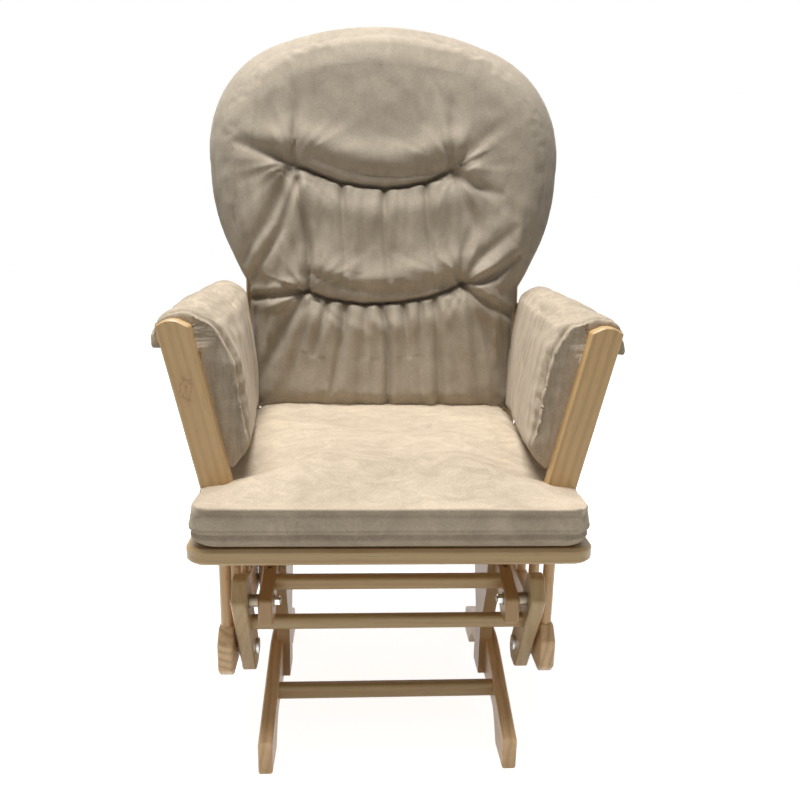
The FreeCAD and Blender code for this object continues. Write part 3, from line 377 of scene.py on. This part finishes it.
add_knot(nodes["arm_plank_left"].material_slots[0].material,
         centre=(-0.272, -0.2325, 0.532), reach=(0.013, 0.030, 0.023))
finish(["back_bow"], rubberwood("Bow wood", "Z", (0.37, 0.02, 0.4), 0.45))
finish(["back_spindles"], rubberwood("Back spindle wood", "Z", (0.09, 0.52, 0.2), 0.4))


# Seat cushion: a T-shaped foam slab in a sewn cover. Its ears lie before the planks, a welt
# runs round the lower third of its edge, and the top is a little crumpled from use.

# All covers are brushed suede, a taupe microfibre. Its nap lies in patches that look lighter
# or darker, with a fine fuzz, and it shines a little where it turns away.

suede, suede_in, suede_out = group_with(
    "Brushed suede",
    [("Vector", "NodeSocketVector", None), ("Cloth", "NodeSocketColor", (0.5, 0.42, 0.33, 1)),
     ("Patches", "NodeSocketFloat", 0.5), ("Rub", "NodeSocketVector", (1, 1, 1))],
    [("Color", "NodeSocketColor"), ("Roughness", "NodeSocketFloat"), ("Height", "NodeSocketFloat")])
plain = suede_in.outputs["Vector"]
laid = node(suede, "VectorMath", [(plain, 0), (suede_in.outputs["Rub"], 1)],
            operation="MULTIPLY").outputs[0]
broad = node(suede, "TexNoise", [(laid, "Vector")], Scale=7, Detail=3, Distortion=1.1)
smudge = node(suede, "TexNoise", [(laid, "Vector")], Scale=24, Detail=5, Roughness=0.62,
              Distortion=1.7)
speck = node(suede, "TexNoise", [(plain, "Vector")], Scale=420, Detail=3)
fibre = node(suede, "TexNoise", [(plain, "Vector")], Scale=1500, Detail=2)
broad_nap = remap(suede, broad.outputs["Fac"], 0.32, 0.68, -0.5, 0.5)
smudge_nap = remap(suede, smudge.outputs["Fac"], 0.36, 0.64, -0.5, 0.5)
nap = node(suede, "Math", [(broad_nap, 0), (smudge_nap, 1)], operation="ADD")
nap_amount = product(suede, nap.outputs[0], suede_in.outputs["Patches"])
# The cloth colour is darkened or lightened by the lie of the nap, then specked
cloth_in = suede_in.outputs["Cloth"]
dark_cloth = blend_colour(suede, 1.0, cloth_in, (0.76, 0.745, 0.72, 1), "MULTIPLY")
pale_cloth = blend_colour(suede, 1.0, cloth_in, (1.17, 1.165, 1.15, 1), "MULTIPLY")
lighter = remap(suede, nap_amount, -0.6, 0.6, 0.0, 1.0)
nap_colour = blend_colour(suede, lighter, dark_cloth, pale_cloth)
specks = remap(suede, speck.outputs["Fac"], 0.35, 0.65, 0.0, 0.30)
nap_colour = blend_colour(suede, specks, nap_colour, (0.62, 0.58, 0.52, 1), "MULTIPLY")
suede.links.new(nap_colour, suede_out.inputs["Color"])
suede.links.new(remap(suede, nap_amount, -0.5, 0.5, 0.92, 0.78), suede_out.inputs["Roughness"])
fuzz = node(suede, "Math", [(fibre.outputs["Fac"], 0), (speck.outputs["Fac"], 1)], operation="ADD")
suede.links.new(fuzz.outputs[0], suede_out.inputs["Height"])


def suede_cloth(name, cloth, patches, rub):
    """Suede of one colour; rub stretches the nap's patches across the smaller numbers."""
    paint = bpy.data.materials.new(name)
    paint.use_nodes = True
    tree = paint.node_tree
    shader = tree.nodes["Principled BSDF"]
    place = tree.nodes.new("ShaderNodeTexCoord").outputs["Object"]
    skin = tree.nodes.new("ShaderNodeGroup")
    skin.node_tree = suede
    tree.links.new(place, skin.inputs["Vector"])
    skin.inputs["Cloth"].default_value = (*cloth, 1)
    skin.inputs["Patches"].default_value = patches
    skin.inputs["Rub"].default_value = rub
    tree.links.new(skin.outputs["Color"], shader.inputs["Base Color"])
    tree.links.new(skin.outputs["Roughness"], shader.inputs["Roughness"])
    bump = node(tree, "Bump", [(skin.outputs["Height"], "Height")], Strength=0.35, Distance=0.0005)
    tree.links.new(bump.outputs["Normal"], shader.inputs["Normal"])
    shader.inputs["Specular IOR Level"].default_value = 0.15
    shader.inputs["Sheen Weight"].default_value = 0.22
    shader.inputs["Sheen Roughness"].default_value = 0.45
    shader.inputs["Sheen Tint"].default_value = (0.95, 0.88, 0.78, 1)
    return paint


def shown_mesh(item, name):
    """The mesh of an item with its modifiers, as a new plain mesh."""
    graph = bpy.context.evaluated_depsgraph_get()
    mesh = bpy.data.meshes.new_from_object(item.evaluated_get(graph))
    mesh.name = name
    return mesh


def vertex_rows(mesh, what):
    """The "co" or "normal" of every vertex of a mesh, one row each."""
    flat = np.empty(len(mesh.vertices) * 3, np.float32)
    mesh.vertices.foreach_get(what, flat)
    return flat.reshape(-1, 3)


def points_of(item):
    return vertex_rows(item.data, "co").astype(float)


def normals_of(item):
    return vertex_rows(item.data, "normal").astype(float)


def put_points(item, points):
    item.data.vertices.foreach_set("co", points.astype(np.float32).ravel())
    item.data.update()


def stuffed(name, part, cell, draw_in, swell):
    """Cover a packed cushion's form in cloth, start it a little small and let pressure fill it.

    The cover may swell outwards by swell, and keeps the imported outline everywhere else.
    """
    item = bpy.data.objects.new(name, nodes[part].data.copy())
    item.data.materials.clear()
    scene.collection.objects.link(item)
    form = bmesh.new()
    form.from_mesh(item.data)
    bmesh.ops.remove_doubles(form, verts=form.verts, dist=1e-5)
    form.to_mesh(item.data)
    form.free()
    remesh = item.modifiers.new("Even cloth", "REMESH")
    remesh.mode = "VOXEL"
    remesh.voxel_size = cell
    item.data = shown_mesh(item, name)
    item.modifiers.clear()
    shape, normals = vertex_rows(item.data, "co"), vertex_rows(item.data, "normal")
    put_points(item, shape - normals * draw_in)
    last_frame, most_slide, most_shrink = 20, 0.003, 0.0015
    cloth = item.modifiers.new("Cloth", "CLOTH")
    cloth.settings.quality = 4
    cloth.settings.mass = 0.3
    cloth.settings.tension_stiffness = 12
    cloth.settings.compression_stiffness = 12
    cloth.settings.bending_stiffness = 0.6
    cloth.settings.use_pressure = True
    cloth.settings.uniform_pressure_force = 4.0
    cloth.settings.effector_weights.gravity = 0
    cloth.point_cache.frame_start = 1
    cloth.point_cache.frame_end = last_frame
    for step in range(1, last_frame + 1):
        scene.frame_set(step)
    filled = shown_mesh(item, name)
    item.modifiers.clear()
    scene.frame_set(1)
    travel = vertex_rows(filled, "co") - shape
    outward = (travel * normals).sum(axis=1, keepdims=True)
    slide = travel - outward * normals
    reach = np.linalg.norm(slide, axis=1, keepdims=True)
    slide *= np.minimum(1, most_slide / np.maximum(reach, 1e-9))
    put_points(item, shape + slide + normals * np.clip(outward, -most_shrink, swell))
    finer = item.modifiers.new("Finer", "SUBSURF")
    finer.levels = finer.render_levels = 1
    item.data = shown_mesh(item, name)
    item.modifiers.clear()
    item.data.polygons.foreach_set("use_smooth", [True] * len(item.data.polygons))
    return item


def smooth_step(value, low, high):
    share = np.clip((value - low) / (high - low), 0, 1)
    return share * share * (3 - 2 * share)


def cloth_ripple(points, size, seed):
    """Soft random unevenness, the same each run."""
    shift = Vector((seed * 3.1, seed * 1.7, seed * 5.3))
    return np.array([noise.noise(Vector(p) / size + shift) for p in points])


seat_cushion = stuffed("SeatCushion", "seat_cushion", cell=0.006, draw_in=0.002, swell=0.005)
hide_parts("seat_cushion")
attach(seat_cushion, "seat")
seat_cushion.data.materials.append(
    suede_cloth("Seat suede", cloth=(0.62, 0.525, 0.405), patches=0.5, rub=(1.0, 1.25, 1)))

slope_start, front_height, crown_rise = -0.322, 0.3965, 0.0335
ear_edge, neck_half = 0.262, 0.204
behind_ears, at_planks = -0.262, -0.236
seat_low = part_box("seat_cushion")[0]
points, normals = points_of(seat_cushion), normals_of(seat_cushion)
across, rearward, height = points.T  # these follow the points as they move

# Behind the ears the cover swells sideways, round the planks and up to the arm sleeves
height_share = smooth_step(height, seat_low.z + 0.012, seat_low.z + 0.060)
past_planks = smooth_step(rearward, -0.250, -0.150)
beside_planks = smooth_step(rearward, behind_ears, at_planks)
half_wide = neck_half + height_share * (0.017 * beside_planks + 0.020 * past_planks)
half_packed = 0.202 + 0.025 * smooth_step(rearward, -0.23, 0.20)
outer_share = smooth_step(np.abs(across), 0.10, 0.20) * beside_planks
across += np.sign(across) * (np.maximum(half_wide - half_packed, 0) * outer_share)

# The top runs down to the front edge and the ears in one easy slope
edge_line = ear_edge - 0.028 * smooth_step(rearward, -0.250, -0.180)
from_edge = np.minimum(rearward - slope_start, edge_line - np.abs(across))
well_inside = (height > 0.388) * smooth_step(from_edge, -0.004, 0.008)
upper_side = np.maximum(smooth_step(normals[:, 2], 0.35, 0.75), well_inside)
slope_height = front_height + crown_rise * smooth_step(from_edge, 0.0, 0.150)
front_share = upper_side * (1 - smooth_step(rearward, -0.190, -0.060))
height += front_share * (slope_height - height)
put_points(seat_cushion, points)

# The welt draws in under a soft lip, the front rim is full, and the top is crumpled
normals = normals_of(seat_cushion)
welt_height, welt_half, welt_depth = seat_low.z + 0.020, 0.0026, 0.0042
on_side = 1 - smooth_step(np.abs(normals[:, 2]), 0.55, 0.85)
welt = np.exp(-((height - welt_height) / welt_half) ** 2) * on_side
beside_welt = np.exp(-((height - welt_height - 0.006) / 0.004) ** 2) * on_side
edge_waves = cloth_ripple(points * (1, 1, 0.3), 0.05, 1)
push = -welt_depth * welt + 0.0014 * beside_welt + 0.0018 * edge_waves * on_side
rim = smooth_step(-rearward, 0.300, 0.314)
push += 0.005 * rim * np.exp(-((normals[:, 2] - 0.62) / 0.26) ** 2)
on_top = smooth_step(normals[:, 2], 0.5, 0.9)
wide = cloth_ripple(points * (1, 1.3, 1), 0.085, 2)
creases = 1 - np.abs(cloth_ripple(points * (0.55, 1.6, 1), 0.045, 3)) * 7
near_rear = smooth_step(rearward, -0.16, 0.10)
push += on_top * (0.0022 * wide + 0.0016 * np.clip(creases, 0, 1) * near_rear)
points += normals * push[:, None]
points[:, 2] = np.maximum(height, seat_low.z)
put_points(seat_cushion, points)


# Back cushion: a tall stuffed pad with a round head, tied to the bow. Two smile-shaped rows of
# stitches pull it in, and the cloth gathers into folds that fan out from the ends of both rows.

def from_line(flat, route):
    """Distance of flat points from a route, how far along it that is, 0 to 1, and the side."""
    route = np.array(route, float)
    spans = np.linalg.norm(np.diff(route, axis=0), axis=1)
    gone = np.concatenate(([0], np.cumsum(spans))) / spans.sum()
    best = np.full(len(flat), 1e9)
    where = np.zeros(len(flat))
    side = np.zeros(len(flat))
    for first, last, begin, end in zip(route, route[1:], gone, gone[1:]):
        run = last - first
        share = np.clip(((flat - first) @ run) / (run @ run), 0, 1)
        gap = flat - (first + share[:, None] * run)
        distance = np.linalg.norm(gap, axis=1)
        nearer = distance < best
        best[nearer] = distance[nearer]
        where[nearer] = (begin + share * (end - begin))[nearer]
        side[nearer] = np.sign(run[0] * gap[:, 1] - run[1] * gap[:, 0])[nearer]
    return best, where, side


back_cushion = stuffed("BackCushion", "back_cushion", cell=0.006, draw_in=0.002, swell=0.010)
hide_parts("back_cushion")
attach(back_cushion, "seat")
# The back's cloth is the same suede: its greyer tone is its own, and its darker colour is painted
# shade for its upright face.
back_cushion.data.materials.append(
    suede_cloth("Back suede", cloth=(0.45, 0.392, 0.315), patches=0.34, rub=(1.2, 1, 0.8)))

back_lean = math.radians(8)
back_foot = np.array((0.0, 0.20755, 0.342))
up_the_back = np.array((0, math.sin(back_lean), math.cos(back_lean)))
out_of_back = np.array((0, -math.cos(back_lean), math.sin(back_lean)))

# Each row of stitches: its points across and up the cushion's face, from the foot's middle
UPPER_TUCK = [(-0.158, 0.490), (-0.125, 0.479), (-0.085, 0.466), (-0.045, 0.459), (0.0, 0.457),
              (0.036, 0.461), (0.076, 0.471), (0.112, 0.488)]
LOWER_TUCK = [(-0.128, 0.279), (-0.090, 0.266), (-0.039, 0.259), (0.015, 0.262), (0.070, 0.272),
              (0.106, 0.286), (0.128, 0.297)]
# Each fold: its route on the face, its depth at the start and at the end, and its half width
FOLDS = [
    ([(-0.128, 0.279), (-0.148, 0.275), (-0.183, 0.269), (-0.245, 0.266)], 0.018, 0.015, 0.009),
    ([(0.128, 0.297), (0.165, 0.300), (0.192, 0.315), (0.235, 0.350)], 0.016, 0.009, 0.010),
    ([(0.132, 0.290), (0.178, 0.258), (0.240, 0.232)], 0.013, 0.006, 0.010),
    ([(-0.153, 0.480), (-0.145, 0.420), (-0.131, 0.350), (-0.127, 0.283)], 0.009, 0.013, 0.008),
    ([(-0.158, 0.625), (-0.153, 0.560), (-0.157, 0.495)], 0.0002, 0.010, 0.010),
    ([(0.106, 0.600), (0.110, 0.545), (0.112, 0.492)], 0.0002, 0.009, 0.010),
    ([(-0.077, 0.460), (-0.074, 0.420), (-0.072, 0.380), (-0.066, 0.310)], 0.011, 0.003, 0.009),
    ([(-0.003, 0.452), (-0.003, 0.400), (0.000, 0.355), (0.009, 0.300)], 0.011, 0.003, 0.009),
    ([(0.068, 0.464), (0.070, 0.420), (0.075, 0.370), (0.085, 0.312)], 0.011, 0.003, 0.009),
    ([(-0.163, 0.480), (-0.198, 0.400), (-0.262, 0.305)], 0.015, 0.005, 0.015),
    ([(-0.152, 0.462), (-0.176, 0.385), (-0.236, 0.285)], 0.010, 0.008, 0.012),
    ([(-0.166, 0.494), (-0.200, 0.506), (-0.252, 0.520)], 0.015, 0.003, 0.013),
    ([(0.122, 0.497), (0.152, 0.525), (0.190, 0.560)], 0.008, 0.001, 0.016),
    ([(0.118, 0.484), (0.150, 0.462), (0.200, 0.450)], 0.012, 0.002, 0.013),
    ([(0.116, 0.476), (0.142, 0.420), (0.168, 0.375)], 0.010, 0.001, 0.016),
    ([(0.134, 0.303), (0.166, 0.345), (0.225, 0.395)], 0.011, 0.002, 0.014),
    ([(0.128, 0.305), (0.136, 0.350), (0.156, 0.410)], 0.009, 0.001, 0.014),
    ([(-0.064, 0.257), (-0.067, 0.215), (-0.075, 0.170), (-0.086, 0.110)], 0.011, 0.005, 0.009),
    ([(-0.008, 0.256), (0.003, 0.215), (0.007, 0.150), (0.006, 0.085)], 0.012, 0.008, 0.008),
    ([(-0.034, 0.256), (-0.030, 0.215), (-0.032, 0.165)], 0.009, 0.002, 0.008),
    ([(0.030, 0.258), (0.036, 0.215), (0.040, 0.170)], 0.009, 0.002, 0.008),
    ([(0.056, 0.264), (0.060, 0.225), (0.060, 0.190)], 0.008, 0.001, 0.007),
    ([(-0.092, 0.266), (-0.100, 0.225), (-0.116, 0.170)], 0.010, 0.003, 0.009),
    ([(0.082, 0.270), (0.087, 0.220), (0.090, 0.150), (0.091, 0.090)], 0.011, 0.006, 0.009),
    ([(-0.136, 0.268), (-0.170, 0.195), (-0.222, 0.100)], 0.014, 0.006, 0.016),
    ([(-0.110, 0.262), (-0.132, 0.200), (-0.160, 0.120)], 0.008, 0.002, 0.014),
    ([(0.136, 0.284), (0.172, 0.200), (0.210, 0.120)], 0.010, 0.003, 0.017),
]

points, normals = points_of(back_cushion), normals_of(back_cushion)
local = points - back_foot
side_place, up_place = local[:, 0], local @ up_the_back
face_points = np.column_stack((side_place, up_place))
in_front = smooth_step(normals @ out_of_back, 0.1, 0.55)
push = np.zeros(len(points))
lips = np.zeros(len(points))

# Each row pulls a narrow groove into a wide dip, and the padding bulges and laps over it
groove_depth, groove_half, dip_depth, dip_half = 0.022, 0.0055, 0.011, 0.026
bulge_height, bulge_half, bulge_from_row = 0.009, 0.026, 0.040
for row in (UPPER_TUCK, LOWER_TUCK):
    away, place_on, side = from_line(face_points, row)
    inner = smooth_step(place_on, 0.0, 0.05) * (1 - smooth_step(place_on, 0.95, 1.0))
    ends = inner * 0.35 + 0.65
    push -= ends * (groove_depth * np.exp(-(away / groove_half) ** 2)
                    + dip_depth * np.exp(-(away / dip_half) ** 2))
    above = np.where(side > 0, 1.0, 0.45)
    push += ends * above * bulge_height * np.exp(-((away - bulge_from_row) / bulge_half) ** 2)
    lap = np.where(side > 0, -0.0065, 0.003)
    lips += ends * lap * np.exp(-((away - 0.013) / 0.010) ** 2)
for route, deep_start, deep_end, half in FOLDS:
    away, place_on, _ = from_line(face_points, route)
    past_end = (place_on <= 0) | (place_on >= 1)
    fade = np.where(past_end, np.exp(-(away / (half * 0.8)) ** 2), 1.0)
    deep = deep_start + (deep_end - deep_start) * place_on
    push -= fade * deep * (np.exp(-(away / (half * 0.62)) ** 2)
                           - 0.36 * np.exp(-((away - half * 1.7) / (half * 1.1)) ** 2))

# Small gathers close under each row, and spokes that fan out from the row's ends
gather_height, spoke_height = 0.0062, 0.0070
for row, strength in ((UPPER_TUCK, 0.6), (LOWER_TUCK, 1.0)):
    away, place_on, side = from_line(face_points, row)
    inside = smooth_step(place_on, 0.0, 0.04) * (1 - smooth_step(place_on, 0.96, 1.0))
    under = np.where(side < 0, 1.0, 0.25) * inside * np.exp(-np.abs(away - 0.012) / 0.024)
    beat = cloth_ripple(np.column_stack((place_on * 0.26, away * 0.15, away * 0)), 0.0095, 7)
    push += gather_height * strength * under * beat
    for at_end in (row[0], row[-1]):
        gap = face_points - np.array(at_end)
        far = np.hypot(gap[:, 0], gap[:, 1])
        heading = np.arctan2(gap[:, 1], gap[:, 0])
        round_end = np.column_stack((np.cos(heading), np.sin(heading), far * 1.2))
        spokes = cloth_ripple(round_end, 0.17, 8)
        spoke_fade = smooth_step(far, 0.006, 0.03) * np.exp(-far / 0.075)
        push += spoke_height * strength * spokes * spoke_fade

# Long soft folds hang down the lower panel, and fainter ones down the middle one
low_panel = 1 - smooth_step(up_place, 0.20, 0.29)
mid_panel = smooth_step(up_place, 0.26, 0.30) * (1 - smooth_step(up_place, 0.42, 0.47))
fan_wide = side_place / (0.72 + 0.9 * np.clip(0.28 - up_place, 0, 0.3))
hanging = cloth_ripple(np.column_stack((fan_wide, up_place * 0.14, fan_wide * 0)), 0.021, 9)
push += 0.0075 * hanging * (low_panel + 0.6 * mid_panel)
deepest, fullest = -0.034, 0.013
push = np.clip(push, deepest, fullest)
push += 0.0022 * cloth_ripple(points, 0.09, 4) + 0.0009 * cloth_ripple(points, 0.028, 5)

# A puckered seam runs round the edge, a little behind the face
edge_seam = np.exp(-((local @ out_of_back - 0.036) / 0.0026) ** 2) * (1 - in_front)
pucker = 0.5 + 0.5 * np.sin(np.arctan2(up_place - 0.42, side_place) * 190)

# The pad fills the room between the sleeves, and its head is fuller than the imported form
between_arms = 1 - smooth_step(up_place, 0.24, 0.36)
points[:, 0] *= 1.022 + 0.064 * between_arms
points += up_the_back * (0.014 * smooth_step(up_place, 0.36, 0.66))[:, None]
points -= up_the_back * (0.012 * (1 - smooth_step(up_place, 0.08, 0.20)))[:, None]
points += out_of_back * (in_front * push)[:, None] + up_the_back * (in_front * lips)[:, None]
points -= normals * (edge_seam * (0.0035 + 0.0012 * pucker))[:, None]
put_points(back_cushion, points)


# Arm sleeves: padded covers pulled over the armrests, with a panel down the inside. The cover
# puckers beside the plank, where a piping seam joins the roll to a darker band.

sleeve_suede = suede_cloth("Sleeve suede", cloth=(0.52, 0.44, 0.34), patches=0.7,
                           rub=(2.2, 1.1, 0.55))


def arm_sleeve(side, sign):
    sleeve = stuffed(f"ArmSleeve_{side}", f"arm_pad_{side}", cell=0.005, draw_in=0.002, swell=0.004)
    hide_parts(f"arm_pad_{side}")
    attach(sleeve, "seat")
    sleeve.data.materials.append(sleeve_suede)
    low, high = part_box(f"arm_pad_{side}")
    points, normals = points_of(sleeve), normals_of(sleeve)
    across, height = points[:, 0], points[:, 2]
    inward = smooth_step(-sign * normals[:, 0], 0.15, 0.6)
    upward = smooth_step(normals[:, 2], 0.2, 0.7)
    share_back = np.clip((points[:, 1] - low.y) / (high.y - low.y), 0, 1)

    # The filling is thickest behind the plank, and the roll rises towards the back
    panel = smooth_step(height, low.z - 0.01, low.z + 0.03) * (
        1 - 0.6 * smooth_step(height, high.z - 0.050, high.z - 0.005))
    across -= sign * inward * panel * (0.020 - 0.024 * share_back)
    height += upward * (0.005 + 0.013 * share_back)

    # Inside the plank the cover's end comes forward and closes over the armrest's end
    end_limit, plank_edge = 0.2600, 0.2625
    zone_inner, zone_under, zone_top = 0.247, 0.580, 0.616  # within 8 mm of the armrest
    end_face = (points[:, 1] < low.y + 0.007) & (np.abs(across) < end_limit)
    points[end_face, 1] = low.y - 0.004
    beside_armrest = (height > zone_under) & (height < zone_top)
    armrest_end = end_face & (np.abs(across) > zone_inner) & beside_armrest
    points[armrest_end, 0] = sign * plank_edge

    # A seam, its piping and short gathers lie by the plank; long creases run behind them
    from_front = points[:, 1] - low.y
    seam = np.exp(-((from_front - 0.012) / 0.0028) ** 2)
    piping = np.exp(-((from_front - 0.005) / 0.0036) ** 2)
    gather = np.exp(-np.maximum(0, from_front - 0.014) / 0.045)
    fan = cloth_ripple(points * (1, 0.30, 1.6), 0.030, 6 + sign)
    creases = 1 - np.abs(cloth_ripple(points * (1.2, 1.2, 0.42), 0.07, 9 + sign)) * 6
    swelling = cloth_ripple(points, 0.10, 12)
    open_side = np.maximum(inward, upward)
    push = open_side * (-0.0035 * seam + 0.0022 * piping + 0.0045 * fan * gather)
    push += inward * (0.0012 * np.clip(creases, 0, 1) + 0.0035 * swelling)
    push += upward * 0.0025 * cloth_ripple(points * (1, 1.2, 1), 0.07, 14)
    points += normals * push[:, None]
    put_points(sleeve, points)


arm_sleeve("left", -1)
arm_sleeve("right", 1)
